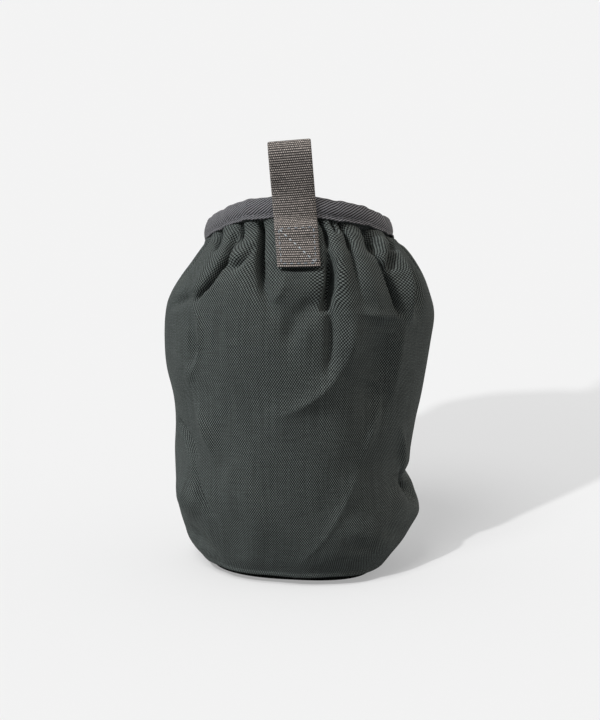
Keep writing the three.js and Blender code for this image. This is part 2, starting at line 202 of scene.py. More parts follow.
def curve_through(knots, values, at):
    """Smooth curve through rows of values at rising knots: cubics whose slopes come from the neighbours."""
    last = len(knots) - 1
    before = np.maximum(np.arange(last + 1) - 1, 0)
    after = np.minimum(np.arange(last + 1) + 1, last)
    slopes = (values[after] - values[before]) / (knots[after] - knots[before])[:, None]
    i = np.clip(np.searchsorted(knots, at) - 1, 0, last - 1)
    span = (knots[i + 1] - knots[i])[..., None]
    t = (at - knots[i])[..., None] / span
    start = (1 + 2 * t) * (1 - t) ** 2 * values[i] + t * (1 - t) ** 2 * span * slopes[i]
    end = t * t * (3 - 2 * t) * values[i + 1] + t * t * (t - 1) * span * slopes[i + 1]
    return start + end


def plain_wall(angle, level):
    """Outer face without folds: a rounded outline at each level, lifted at the front near the mouth.

    The angle is measured from the front, positive to the right, in radians.
    """
    angle, level = np.broadcast_arrays(angle, level)
    row = curve_through(SECTIONS[:, 0], SECTIONS[:, 1:], level)
    left, right, front, back, power = np.moveaxis(row, -1, 0)
    c = np.cos(angle)
    s = np.sin(angle)
    reach = (np.abs(c) ** power + np.abs(s) ** power) ** (-1 / power)
    arch = np.where(c > 0, MOUTH_ARCH_FRONT, MOUTH_ARCH_BACK)
    lift = MOUTH_TILT * c + arch * c * c - MOUTH_SKEW * np.sin(2 * angle) + MOUTH_RIGHT * np.maximum(s, 0)
    x = (left + right) / 2 + (right - left) / 2 * s * reach
    y = (front + back) / 2 - (back - front) / 2 * c * reach
    y = y - FOOT_TURN * (x - FOOT_PIVOT) * (1 - smoothstep(FOOT_LEVEL, FOOT_TURN_TOP, level))
    return np.stack([x, y, level + lift * smoothstep(LIFT_START, LIFT_FULL, level)], axis=-1)


def unit(v):
    """Vectors of length one."""
    return v / np.linalg.norm(v, axis=-1, keepdims=True)


def wall_frame(angle, level):
    """Point of the plain wall with two directions: straight out of the cloth, and round it to the right."""
    around = unit(plain_wall(angle + TURN_STEP, level) - plain_wall(angle - TURN_STEP, level))
    up = plain_wall(angle, level + LEVEL_STEP) - plain_wall(angle, level - LEVEL_STEP)
    return plain_wall(angle, level), unit(np.cross(around, up)), around


print("sections:", len(SECTIONS), "from level", FOOT_LEVEL, "to", SECTIONS[-1, 0])

# %% [markdown]
# ## Gathers under the tape
# Elastic in the mouth draws a wide tube of cloth into a narrow tape, so the spare cloth stands in pleats. A
# cloth simulation can gather a tube, but it puts the pleats where it likes. The pleats of this pouch are
# known one by one from the photograph, so each is a row: where it leaves the tape, where it dies out, how
# deep and how wide. A pleat also pulls its two flanks together, which leaves a narrow dark slit between two
# round puffs.

# %% Pleats
GATHERS = [
    # angle at the tape, halfway and at the end, level it reaches, depth, width
    (-97, -98, -100, 138, 3.4, 1.8),
    (-84, -85, -86, 128, 3.6, 2),
    (-69, -69, -70, 136, 3.6, 1.8),
    (-57, -52, -48, 145, 10, 1.3),
    (-38, -35.5, -34, 146, 6, 1.2),
    (-24.5, -18, -9, 114, 8.5, 1.8),
    (12, 12, 12.3, 140, 5, 0.9),
    (19, 18.5, 18, 150, 3.5, 1),
    (25.5, 24.5, 23.5, 143, 5.5, 1.5),
    (24.5, 24.5, 28.5, 119, 2.6, 1),
    (44.5, 40, 37.5, 143, 9, 3),
    (66, 58, 51, 146, 6, 1.5),
    # right side and back, which the photograph hardly shows
    (72, 74, 75, 136, 3.6, 1.8),
    (90, 89, 88, 126, 3.8, 2),
    (108, 110, 112, 134, 3.6, 1.9),
    (125, 124, 123, 118, 4.6, 2.2),
    (143, 144, 145, 132, 3.8, 2),
    (161, 160, 158, 122, 4.4, 2.2),
    (179, 180, 181, 134, 3.6, 2),
    (197, 199, 201, 118, 4.8, 2.2),
    (215, 214, 213, 132, 3.8, 2),
    (233, 235, 236, 124, 4.4, 2.2),
    (250, 249, 248, 134, 3.6, 1.9),
]
GATHER_HIDDEN = 157.6  # level above which the tape holds the cloth flat
GATHER_OPEN = 155.8  # level where a pleat has its full depth
GATHER_WIDENING = 0.4  # share by which a pleat is wider at its end
GATHER_FADE = 0.4  # share of a pleat's length after which it grows shallow
GATHER_PINCH = 0.3  # share by which the flanks of a pleat close in on its middle at the tape
SLIT_POWER = 2.8  # steepness of a pleat's flanks
SLIT_SHARE = 0.7  # share of its depth that is the narrow slit; the rest rounds the puffs
PUFF_REACH = 2.6  # width of that rounding, against the slit
FOLD_RADIUS = 58.0  # radius that turns angles into distances along the cloth
SWELL_RISE = 1.1  # how far the cloth swells out right under the tape
SWELL_LEVEL = 155.9
SWELL_WIDTH = 0.8


def short_turn(a, b):
    """Difference of two angles in degrees, taken the short way round."""
    return (a - b + 180) % 360 - 180


def bell(x, width):
    """Bell curve: 1 in the middle, fading out over a width."""
    return np.exp(-(x / width) ** 2)


def through_three(a, b, c, t):
    """Curve through a, b and c at t of 0, a half and 1: a quadratic in t."""
    return a * (1 - t) * (1 - 2 * t) + 4 * b * t * (1 - t) + c * t * (2 * t - 1)


def below_tape(level):
    """1 where the cloth is free, 0 where the tape holds it."""
    return 1 - smoothstep(GATHER_OPEN, GATHER_HIDDEN, level)


def gathers(angle, level):
    """How far the pleats raise the cloth, which is mostly negative, and how far they move it sideways.

    Across each pleat a steep trough lies in a wide bell curve. Along it the middle follows a curve through
    three angles, and the depth fades out.
    """
    rise = SWELL_RISE * bell(level - SWELL_LEVEL, SWELL_WIDTH)
    sideways = np.zeros_like(level)
    for top, half, end, reach, depth, width in GATHERS:
        t = np.clip((GATHER_HIDDEN - level) / (GATHER_HIDDEN - reach), 0, 1)
        turn = short_turn(np.degrees(angle), through_three(top, half, end, t))
        aside = np.radians(turn) * FOLD_RADIUS
        share = np.abs(aside) / (width * (1 + GATHER_WIDENING * t))
        strength = below_tape(level) * (1 - smoothstep(GATHER_FADE, 1, t))
        slit = np.exp(-share ** SLIT_POWER)
        puff = bell(share, PUFF_REACH)
        rise = rise - depth * strength * (SLIT_SHARE * slit + (1 - SLIT_SHARE) * puff)
        sideways = sideways - GATHER_PINCH * (1 - t) * strength * aside * puff
    return rise, sideways


print("pleats:", len(GATHERS))

# %% [markdown]
# ## Folds and dents lower down
# Below the pleats the wall is slack and stands on its own, so it has soft dents, a few ridges, a crease on
# the left where the cloth buckles, and a pocket low on the right. They could be sculpted, but then no one
# could read their sizes. Here each is a short curved path over three points, and the cloth rises or sinks
# beside it: a soft fold as a bell curve, a crisp one with a sharp middle.

# %% Folds
FOLDS = [
    # angle and level of start, middle and end; rise (negative is a dent), width, power (2 soft, 1 crisp)
    # left: the slanting slit, the puff beside it, the oval bump, the crease and the buckled lobe
    (-40, 151, -38.5, 141, -43.5, 131.5, -8, 1.8, 2.6),
    (-42.5, 133, -45.5, 129.5, -49, 126, -3.6, 1.1, 2),
    (-49, 127, -58, 127, -69, 125.5, -2.6, 2.6, 2),
    (-50, 142, -49, 134, -56, 124, 1.2, 4, 2),
    (-37, 140.5, -30, 138.5, -26, 145.5, -2.8, 1.7, 1.8),
    (-35.5, 145, -31.5, 143, -29.5, 145.5, 1.4, 2.6, 2),
    (-50.5, 124, -44, 110, -53, 92, 1.8, 1.5, 1.3),
    (-50.5, 116, -48, 106, -51, 100, -2.2, 3, 2),
    (-53.5, 99.5, -53, 96.5, -55, 94, 1, 2, 2),
    (-29.5, 127, -28, 115, -30, 101, 0.8, 5, 2),
    (-72, 71.5, -61, 65, -53.5, 59.5, -5.2, 2.3, 2),
    (-54.5, 57, -49, 43.5, -40.5, 33.5, -3, 1.7, 1.4),
    (-70, 39, -60, 39, -48, 37, 4.5, 8.5, 2),
    (-49, 80, -45, 71.5, -39.5, 61.5, 3.6, 3.2, 1.5),
    (-66, 20, -56, 17, -45, 11, -3.2, 5, 2),
    (-26, 51, -19.5, 36.5, -20, 15, 1.4, 6, 2),
    # front: round the end of the long pleat, and below the webbing
    (-9, 140, -8, 132, -9, 126, 0.6, 4, 2),
    (-7, 133.5, -8.5, 126.5, -13.5, 124.5, 1.5, 2.2, 1.6),
    (-9.5, 137.2, -1, 137.4, 7.2, 137.6, -2.6, 1.3, 2),
    (10, 123, 3.5, 121, -1.5, 116.5, -2.4, 4.4, 2),
    (-1.5, 117, -3, 111.5, -4, 105, -1.6, 4.2, 2),
    (3, 116, 3.5, 110, 3, 102, 0.8, 3.5, 2),
    # right: two slits and the puffs beside them, the long ridge that sweeps to the front, the flat plane
    # beside it and its edges
    (12.3, 141.5, 13, 132.5, 10.5, 121.5, -9, 2, 3),
    (10.5, 128, 14, 112.5, 13.5, 97, -3.2, 2.2, 1.8),
    (18, 152, 18, 140, 20.5, 122, 2, 3.2, 2),
    (21, 122, 23, 108, 18, 96, 3, 4.4, 1.8),
    (18, 97, 9.5, 87.5, -8, 79, 2.4, 3.2, 1.2),
    (28, 151, 29.5, 139, 36, 121, 1.2, 3.6, 2),
    (27, 120, 36, 119.5, 46, 120, 2, 2.2, 1.6),
    (38.5, 147, 42.5, 135, 46.5, 121, -7, 1.6, 2.6),
    (50, 152.5, 46.5, 149, 43.5, 145, 2.6, 2.6, 2),
    (51.5, 149, 48, 144.5, 44.5, 139.5, -4.6, 1.8, 2.4),
    (43, 147, 43, 134, 44.5, 120, -2, 6, 2),
    (55.5, 146, 53.5, 134, 52.5, 119.5, 4.2, 3.2, 1.6),
    (63, 142, 60.5, 134, 58, 122, -5, 3.6, 1.8),
    (38, 112, 37, 101, 32, 84, -2, 8, 2),
    (42, 116, 40, 100, 36, 80, -3, 8, 2),
    (38, 92, 36, 86, 33, 78, -2.5, 10, 2),
    (48.5, 118, 48, 101, 45, 80, 2, 3.4, 1.4),
    # low right: two crisp ridges, the lobe with its pocket and the notch above it
    (41, 88, 38.5, 75, 33.5, 61, 2, 2.2, 1.4),
    (33.5, 58, 24, 41, 5, 14.5, 0.9, 2, 1.4),
    (25, 22, 33, 20, 43, 17, -1.2, 4, 2),
    (50, 39, 58, 38, 66, 35, 2, 6, 2),
    (44, 26, 51, 25, 60, 23, -1.2, 4, 2),
    (57, 70.5, 64, 59, 66, 49, 2.4, 2.2, 1.4),
    (64, 46, 82, 45, 112, 45, -3.8, 4.4, 2),
    (65.5, 46, 73.5, 40, 87, 35, -13, 4.2, 2.4),
    (60, 51, 62.5, 45, 69, 35, 1.5, 2.4, 1.6),
    (66, 30, 84, 29, 104, 29, 2.2, 5.5, 2),
    # back, which the photograph does not show
    (130, 112, 150, 98, 172, 92, -1.8, 8, 2),
    (196, 70, 214, 62, 238, 66, -2, 8, 2),
    (118, 66, 138, 56, 160, 40, -1.6, 8, 2),
    (168, 118, 190, 104, 206, 84, 1.4, 9, 2),
]
FOLD_STEPS = 10  # straight pieces of a fold's path
FOLD_END_SHARE = 0.35  # share of its rise that a fold has at its ends


def folds(angle, level):
    """Sum of all folds: rise times exp of minus (distance over width) to a power, fading to both ends."""
    degrees = np.degrees(angle)
    total = np.zeros_like(level)
    share = np.linspace(0, 1, FOLD_STEPS + 1)
    for a0, l0, a1, l1, a2, l2, rise, width, power in FOLDS:
        path_angle = through_three(a0, a1, a2, share)
        path_level = through_three(l0, l1, l2, share)
        nearest = np.full_like(level, np.inf)
        along = np.zeros_like(level)
        for k in range(FOLD_STEPS):
            x = np.radians(short_turn(path_angle[k], degrees)) * FOLD_RADIUS
            y = path_level[k] - level
            dx = math.radians(path_angle[k + 1] - path_angle[k]) * FOLD_RADIUS
            dy = path_level[k + 1] - path_level[k]
            t = np.clip(-(x * dx + y * dy) / (dx * dx + dy * dy), 0, 1)
            distance = np.hypot(x + t * dx, y + t * dy)
            along = np.where(distance < nearest, (k + t) / FOLD_STEPS, along)
            nearest = np.minimum(nearest, distance)
        fade = FOLD_END_SHARE + (1 - FOLD_END_SHARE) * np.sin(np.pi * along)
        total = total + rise * fade * np.exp(-(nearest / width) ** power)
    return total


print("folds and dents:", len(FOLDS))

# %% [markdown]
# ## The body
# The wall is now the plain tube plus pleats, folds and a little unevenness, as a closed skin: up the
# outside, over the edge and down the inside. A Solidify modifier would double every face; building the
# inside from its own, coarser levels keeps the faces for the side that is seen. Where the webbing is sewn
# on, the cloth lies flat. The map of the cloth goes evenly round the pouch. Where a pleat takes up more
# cloth than that, the map follows the folded ring, but only near the pleat: slow waves of the difference
# are filtered out, so the yarns stay upright.

# %% Folded wall
HEM_RISE = 1.3  # how far the seam at the foot stands out
HEM_LEVEL = 6.0
HEM_WIDTH = 0.8
HEM_FRONT = (0.3, 0.8)  # cosines of the angles where the hem starts and where it has its full rise
LOOP_WIDTH = 20.0
LOOP_FOOT_X = -0.4  # middle of the webbing's lower end
LOOP_FOOT_Z = 155.0
LOOP_LEAN = 0.0833  # sideways shift for each millimetre upwards
SEWN_EDGE = -1.5  # distance from the webbing's edge up to which the cloth stays flat
SEWN_MARGIN = 0.6  # distance from the webbing's edge where the cloth is free
SEAM_DEPTH = 0.9  # groove of the seam at the back
SEAM_WIDTH = 1.6  # its width in degrees
UNEVENNESS = 0.22  # how far slack cloth wavers
SLACK_WAVES = [
    # waves round the pouch, slant (radians for each millimetre upwards), shift, share
    (7, 1 / 11, 0, 1),
    (11, -1 / 7, 1.3, 0.7),
    (5, 1 / 5, 2.1, 0.5),
]


def loop_middle_x(z):
    """Middle of the leaning webbing at a height."""
    return LOOP_FOOT_X - (z - LOOP_FOOT_Z) * LOOP_LEAN


def freedom(point):
    """How free the cloth is to fold: 0 where the webbing is sewn on, 1 away from it."""
    x, y, z = np.moveaxis(point, -1, 0)
    aside = smoothstep(SEWN_EDGE, SEWN_MARGIN, np.abs(x - loop_middle_x(z)) - LOOP_WIDTH / 2)
    below = smoothstep(SEWN_EDGE, SEWN_MARGIN, LOOP_FOOT_Z - z)
    return np.where(y > 0, 1.0, np.maximum(aside, below))


def waver(waves, angle, level):
    """Slight unevenness: a sum of sines that run round the pouch, each with its own slant and share."""
    return sum(share * np.sin(count * angle + slant * level + shift) for count, slant, shift, share in waves)


def folded_wall(angle, level, offset):
    """Plain wall moved by its pleats and folds, then straight out by an offset."""
    angle, level = np.broadcast_arrays(angle, level)
    point, out, around = wall_frame(angle, level)
    rise, sideways = gathers(angle, level)
    slack = UNEVENNESS * waver(SLACK_WAVES, angle, level)
    back_seam = SEAM_DEPTH * bell(short_turn(np.degrees(angle), 180), SEAM_WIDTH)
    hem = HEM_RISE * smoothstep(*HEM_FRONT, np.cos(angle)) * bell(level - HEM_LEVEL, HEM_WIDTH)
    rise = rise + folds(angle, level) + (slack - back_seam) * below_tape(level) + hem
    free = freedom(point)
    return point + out * (rise * free + offset)[..., None] + around * (sideways * free)[..., None]


print("webbing sewn on above", LOOP_FOOT_Z, "mm")

# %% Build the body
CLOTH = 1.2  # thickness of the wall
CUT_ROUND = 384.0  # length of the cloth rectangle round the pouch
BODY_COLUMNS = 336
FRONT_DENSITY = 0.5  # share by which columns crowd towards the front
WALL_FOOT = 4.6  # level of the wall's lower edge, which hangs a little above the floor
OUTSIDE_LEVELS = [
    # from, to, number of rows
    (WALL_FOOT, 8.0, 12), (8.0, 20.0, 18), (20.0, 118.0, 96), (118.0, 153.0, 54), (153.0, 157.6, 14),
    (157.6, 165.0, 5),
]
INSIDE_LEVELS = [(WALL_FOOT, 118.0, 26), (118.0, 157.0, 22), (157.0, 165.0, 4)]
LOCAL_WAVES = 8  # waves round the pouch that count as slow


def levels_of(table):
    """Rising levels from stretches of start, end and count; the last stretch includes its end."""
    stretches = [np.linspace(start, end, count, endpoint=False) for start, end, count in table]
    return np.concatenate(stretches + [[table[-1][1]]])


even = np.linspace(-math.pi, math.pi, BODY_COLUMNS + 1)
body_angles = even - FRONT_DENSITY * np.sin(even)
outside = levels_of(OUTSIDE_LEVELS)
inside = levels_of(INSIDE_LEVELS)[::-1]
body_points = np.concatenate([
    folded_wall(body_angles[None, :-1], outside[:, None], 0.0),
    folded_wall(body_angles[None, :-1], inside[:, None], -CLOTH),
])
climb = plain_wall(body_angles[None, :-1], np.concatenate([outside, inside])[:, None])
steps = np.linalg.norm(np.diff(climb, axis=0), axis=-1).mean(axis=1)
body_along = np.concatenate([[0], np.cumsum(steps), [steps.sum() + CLOTH]])
ring_lengths = lengths_along(np.concatenate([body_points, body_points[:, :1]], axis=1))
even_around = body_angles / (2 * math.pi) * CUT_ROUND
taken_up = ring_lengths[:, :-1] / ring_lengths[:, -1:] * CUT_ROUND - even_around[:-1] + even_around[0]
near_by = 1 - bell(np.arange(BODY_COLUMNS // 2 + 1), LOCAL_WAVES)
taken_up = np.fft.irfft(np.fft.rfft(taken_up, axis=1) * near_by, BODY_COLUMNS, axis=1)
body_around = even_around + np.concatenate([taken_up, taken_up[:, :1]], axis=1)
body = new_piece(
    "pouch_body",
    body_points,
    [grid_faces(len(body_points), BODY_COLUMNS, True)],
    grid_map(np.concatenate([body_around, body_around[:1]]), body_along),
)
print("wall of cloth, foot to rim:", round(float(steps[:len(outside) - 1].sum()), 1), "mm")

# %% [markdown]
# ## The base panel
# A round piece of the same cloth closes the foot. It lies flat on the floor and its edge turns up inside the
# wall, where it is sewn. A flat disc would leave a gap there, so this is a closed skin again: out along the
# underside, up the turned edge, over it, down and back in along the floor of the pouch, with a small flat
# face in the middle of each side.

# %% Build the base panel
BASE_COLUMNS = 180
BASE_FLOOR = 1.6  # height of the cloth floor
BASE_LIP = 1.2  # thickness of the turned edge
BASE_RISE = 4.5  # how far the edge climbs inside the wall
BASE_ROUNDING = 1.4  # inset of the flat underside from the turned edge
LIP_GAP = 0.4  # clearance between the wall and the turned edge
WALL_SOLID = 1.4  # thickness of the wall's solid, which the base keeps clear of
FLAT_SHARES = np.array([0.04, 0.25, 0.5, 0.75, 0.92, 1.0])


def base_ring(level, offset):
    """Ring of points beside the wall's foot."""
    angle = np.linspace(-math.pi, math.pi, BASE_COLUMNS, endpoint=False)
    point, out, _ = wall_frame(angle, np.full(BASE_COLUMNS, level))
    return point + out * offset


def flat_rings(ring, z):
    """Flat rings inside a ring: its points drawn in by the rounding and then by shares, at one height."""
    reach = np.linalg.norm(ring[:, :2], axis=-1, keepdims=True)
    flat = ring[:, :2] * (1 - BASE_ROUNDING / reach) * FLAT_SHARES[:, None, None]
    return np.concatenate([flat, np.full(flat.shape[:2] + (1,), z)], axis=-1)


lip_out = -WALL_SOLID - LIP_GAP
lip_in = lip_out - BASE_LIP
low_edge = base_ring(FOOT_LEVEL, lip_out)
low_inside = base_ring(FOOT_LEVEL, lip_in)
high_edge = base_ring(FOOT_LEVEL + BASE_RISE, lip_out)
high_inside = base_ring(FOOT_LEVEL + BASE_RISE, lip_in)
base_points = np.concatenate([
    flat_rings(low_edge, 0.0),
    np.stack([low_edge, high_edge, high_inside, low_inside]),
    flat_rings(low_inside, BASE_FLOOR)[::-1],
])
base_faces = [grid_faces(len(base_points), BASE_COLUMNS, False), end_faces(len(base_points), BASE_COLUMNS)]
base_corners = np.concatenate([f.ravel() for f in base_faces])
base_map = base_points.reshape(-1, 3)[base_corners, :2]
base_panel = new_piece("pouch_base_panel", base_points, base_faces, base_map)

# %% [markdown]
# ## The binding tape
# A twill tape is folded over the raw edge of the mouth and stitched down a little above its lower edges,
# which leaves a narrow lip below the stitches and a soft swelling above them. A strip with a Solidify
# modifier would have square edges; here the tape's own section, a channel with rounded edges, is carried
# round the mouth.

# %% Build the tape
TAPE = 0.9  # thickness of the tape
TAPE_GAP = 0.4  # clearance between the wall's solid and the tape
TAPE_LOW = 156.9  # lower edges
TAPE_BEND = 164.6  # where the tape starts to fold over
TAPE_TOP = 166.7  # top of the fold
TAPE_LIP = 2.1  # height of the lip below the stitches
TAPE_SWELL = 0.60  # how far the tape swells above the stitches
SWELL_ROUNDNESS = 0.7  # power of the swelling's arch, less is fuller
LIP_FLARE = 0.6  # how far the lip's lower edge stands out
SMOOTH_LEFT = (0.5, 0.8)  # sines of the angles to the left where the flare starts to fade and is gone
TAPE_WAVER = 0.22  # unevenness of the tape's edges
TAPE_WAVES = [(9, 0, 1, 1), (23, 0, 2, 0.7), (41, 0, 0, 0.5)]  # columns as in SLACK_WAVES
TAPE_COLUMNS = 480
TAPE_ROUND = 2 * math.pi * 42.0  # length of the tape, from about the mouth's mean radius
SIDE_POINTS = 19
HIDDEN_POINTS = 5
BEND_POINTS = 13
face_out = TAPE_GAP + TAPE
face_in = -WALL_SOLID - TAPE_GAP - TAPE
bend_half = (face_out - face_in) / 2


def tape_point(angle, level, offset):
    """Point beside the plain wall, with the tape's waver in height and a third of it outwards.

    The lip of the outer flap, below the stitches, flares out in a straight line, except on the left.
    """
    point, out, _ = wall_frame(angle, level)
    uneven = TAPE_WAVER * waver(TAPE_WAVES, angle, level)
    below = np.clip((TAPE_LOW + TAPE_LIP - level) / TAPE_LIP, 0, 1)
    flare = LIP_FLARE * below * (1 - smoothstep(*SMOOTH_LEFT, -np.sin(angle)))
    point = point + out * (offset + np.where(offset > 0, flare, 0) + uneven / 3)[..., None]
    point[..., 2] += uneven
    return point


def tape_leg(offset, levels):
    """Part of the section that runs upwards: offsets from the wall and levels."""
    return np.column_stack([np.broadcast_to(offset, levels.shape), levels])


def tape_bend(half, rise):
    """Part of the section that folds over the wall's edge: half an ellipse without its two ends."""
    turn = np.linspace(0, math.pi, BEND_POINTS)[1:-1]
    return np.column_stack([(face_out + face_in) / 2 + half * np.cos(turn), TAPE_BEND + rise * np.sin(turn)])


side_levels = np.linspace(TAPE_LOW, TAPE_BEND, SIDE_POINTS)
hidden_levels = np.linspace(TAPE_LOW, TAPE_BEND, HIDDEN_POINTS)
above_lip = np.clip((side_levels - TAPE_LOW - TAPE_LIP) / (TAPE_BEND - TAPE_LOW - TAPE_LIP), 0, 1)
side_swell = TAPE_SWELL * np.sin(np.pi * above_lip) ** SWELL_ROUNDNESS
edge_tip = TAPE_LOW - TAPE / 4
section = np.concatenate([
    tape_leg(face_out + side_swell, side_levels),
    tape_bend(bend_half, TAPE_TOP - TAPE_BEND),
    tape_leg(face_in - side_swell, side_levels)[::-1],
    [(face_in + TAPE / 2, edge_tip)],
    tape_leg(face_in + TAPE, hidden_levels),
    tape_bend(TAPE - bend_half, TAPE_TOP - TAPE - TAPE_BEND),
    tape_leg(face_out - TAPE, hidden_levels)[::-1],
    [(face_out - TAPE / 2, edge_tip)],
])
tape_angles = np.linspace(-math.pi, math.pi, TAPE_COLUMNS + 1)
tape_along = lengths_along(np.concatenate([section, section[:1]]))
angle_grid, level_grid = np.meshgrid(tape_angles[:-1], section[:, 1])
rim_tape = new_piece(
    "pouch_rim_tape",
    tape_point(angle_grid, level_grid, np.broadcast_to(section[:, :1], level_grid.shape)),
    [grid_faces(len(section), TAPE_COLUMNS, True)],
    grid_map(tape_angles / (2 * math.pi) * TAPE_ROUND, tape_along),
)

# %% [markdown]
# ## The path of the webbing
# One strip of webbing runs up the front of the wall, over the tape, round in a loop and down again inside
# the mouth. A curve object with a bevel would twist on the way. A path in the plane of the loop with a flat
# section carried along it stays straight. Where the strip is sewn on, it follows the wall, so its place is
# read from the wall itself.

# %% Route of the loop
WEBBING = 1.4  # thickness
LOOP_GAP = 0.6  # clearance between the webbing's solid and the wall or tape
LOOP_TOP = 211.6  # highest point of the outer face
LOOP_FREE_Z = 187.6  # above this the legs leave the rim
LOOP_FLAT_Z = 197.0  # above this they are flat across
LOOP_SWELL_Z = 198.0
LOOP_SWELL_FRONT = -41.8  # Y of the front leg's middle, halfway up the free part
LOOP_SWELL_BACK = -32.6  # Y of the back leg's middle there
LOOP_BEND = 4.0  # half the height of the rounded top
LOOP_NECK = 0.9  # how wide the legs stand at the bend, as a share of the swell
TAPE_RAMP = 5.0  # height over which the webbing climbs onto the tape's lip
MOUTH_RADIUS = 45.0  # about the wall's radius where the webbing is sewn on
FRONT_CORRECTIONS = 12
FRONT_DAMPING = 0.8  # share of the height error that one correction takes out
SLOPE_REACH = 2.0  # distance up and down over which the wall's slope is taken
SEWN_STATIONS = 12
ROUTE_POINTS = 4001


def front_y(x, z):
    """Y of the wall's front at a place seen from the front: angle and level are corrected until they fit."""
    angle = np.zeros_like(x)
    level = z - MOUTH_TILT
    for _ in range(FRONT_CORRECTIONS):
        point = plain_wall(angle, level)
        angle = angle + (x - point[..., 0]) / MOUTH_RADIUS
        level = np.minimum(SECTIONS[-1, 0], level + (z - point[..., 2]) * FRONT_DAMPING)
    return plain_wall(angle, level)[..., 1]


def stand_off(z):
    """Distance from the wall's face to the middle of the webbing outside it, which is more over the tape."""
    lip_z = TAPE_LOW + MOUTH_TILT + MOUTH_ARCH_FRONT
    over_tape = (TAPE_GAP + TAPE) * smoothstep(lip_z - 2 * TAPE_RAMP, lip_z - TAPE_RAMP, z)
    return over_tape + LOOP_GAP + WEBBING / 2


def leg_y(x, z, in_front):
    """Y of a leg's middle: the wall's front moved straight out of the sloping cloth, or into the mouth."""
    distance = np.where(in_front, stand_off(z), -WALL_SOLID - stand_off(z))
    slope = (front_y(x, z + SLOPE_REACH) - front_y(x, z - SLOPE_REACH)) / (2 * SLOPE_REACH)
    return front_y(x, z) - distance * np.hypot(1, slope)


loop_middle_y = (LOOP_SWELL_FRONT + LOOP_SWELL_BACK) / 2
loop_top_z = LOOP_TOP - WEBBING / 2
sewn_z = np.linspace(LOOP_FOOT_Z, LOOP_FREE_Z, SEWN_STATIONS)


def leg_stations(in_front, swell_y):
    """Y and Z of a leg from its sewn end to the start of the bend."""
    sewn = np.column_stack([leg_y(loop_middle_x(sewn_z), sewn_z, in_front), sewn_z])
    neck_y = loop_middle_y + (swell_y - loop_middle_y) * LOOP_NECK
    return np.concatenate([sewn, [(swell_y, LOOP_SWELL_Z), (neck_y, loop_top_z - LOOP_BEND)]])


stations = np.concatenate([
    leg_stations(True, LOOP_SWELL_FRONT),
    [(loop_middle_y, loop_top_z)],
    leg_stations(False, LOOP_SWELL_BACK)[::-1],
])
# knots a square root of the distance apart keep the curve from swinging out between uneven stations
knots = np.concatenate([[0], np.cumsum(np.linalg.norm(np.diff(stations, axis=0), axis=-1) ** 0.5)])
route = curve_through(knots, stations, np.linspace(0, knots[-1], ROUTE_POINTS))
route_length = lengths_along(route)
loop_top_length = route_length[np.argmax(route[:, 1])]
print("webbing, end to end:", round(float(route_length[-1]), 1), "mm")

# %% [markdown]
# ## The webbing itself
# This webbing is woven with thick cross threads, so its face is a ladder of fine ribs. A bump map could fake
# that, but the ribs show at the edges of the loop too, so they are real: the face is lifted by a wave along
# the strip.

# %% Build the webbing
RIB_PITCH = 1.09  # one rib along the webbing
RIB_HEIGHT = 0.26
RIB_ROUNDNESS = 0.7  # power of a rib's arch, less is fuller
RIB_SAMPLES = 6
RIB_AT_EDGE = 0.4  # share of a rib's height that is left at the webbing's edges
ACROSS_POINTS = 31
EDGE_ROUND = 0.7  # width over which the edges grow thinner
EDGE_THIN = 0.45  # share of the thickness that is left at the edges
LOOP_FOOT_SLANT = 0.02  # slope of the cut lower end
RUN_REACH = 0.4  # length before and after a place that gives the route's direction


def strap_slant(z):
    """Slope of the cross threads: square to the leaning strip, but nearly level at its lower end."""
    return LOOP_FOOT_SLANT + (LOOP_LEAN - LOOP_FOOT_SLANT) * smoothstep(LOOP_FOOT_Z, LOOP_FREE_Z, z)


def route_at(along):
    """Y and Z of the route at lengths along it."""
    return np.array([np.interp(along, route_length, route[:, k]) for k in (0, 1)])


def strap_point(along, across, height):
    """Point of the webbing: a length along its route, a distance across, a height over its middle face."""
    y, z = route_at(along)
    run_y, run_z = route_at(along + RUN_REACH) - route_at(along - RUN_REACH)
    run = np.hypot(run_y, run_z)
    in_front = along < loop_top_length
    x_here = loop_middle_x(z) + across
    z_here = z + across * strap_slant(z)
    follow = 1 - smoothstep(LOOP_FREE_Z, LOOP_FLAT_Z, z)
    curved = follow * (leg_y(x_here, z_here, in_front) - leg_y(loop_middle_x(z), z, in_front))
    return np.stack([x_here, y + curved - run_z / run * height, z_here + run_y / run * height], axis=-1)


rib_rows = int(route_length[-1] / RIB_PITCH) * RIB_SAMPLES + 1
lengths = np.linspace(0, route_length[-1], rib_rows)
widths = np.linspace(-LOOP_WIDTH / 2, LOOP_WIDTH / 2, ACROSS_POINTS)
strap_along, strap_across = np.meshgrid(lengths, widths, indexing="ij")
edge_room = np.clip((LOOP_WIDTH / 2 - np.abs(strap_across)) / EDGE_ROUND, 0, 1)
edge_arch = EDGE_THIN + (1 - EDGE_THIN) * np.sqrt(1 - (1 - edge_room) ** 2)
rib_height = RIB_HEIGHT * np.abs(np.sin(np.pi * strap_along / RIB_PITCH)) ** RIB_ROUNDNESS
rib_height = rib_height * (RIB_AT_EDGE + (1 - RIB_AT_EDGE) * edge_room)
face_height = (WEBBING / 2 - RIB_HEIGHT) * edge_arch + rib_height
outer_face = strap_point(strap_along, strap_across, face_height)
inner_face = strap_point(strap_along, strap_across, -face_height)
strap_points = np.concatenate([outer_face, inner_face[:, ::-1]], axis=1)
strap_around = np.concatenate([widths, widths[::-1] + LOOP_WIDTH, widths[:1]])
end_map = np.column_stack([strap_around[:-1], np.zeros(2 * ACROSS_POINTS)])
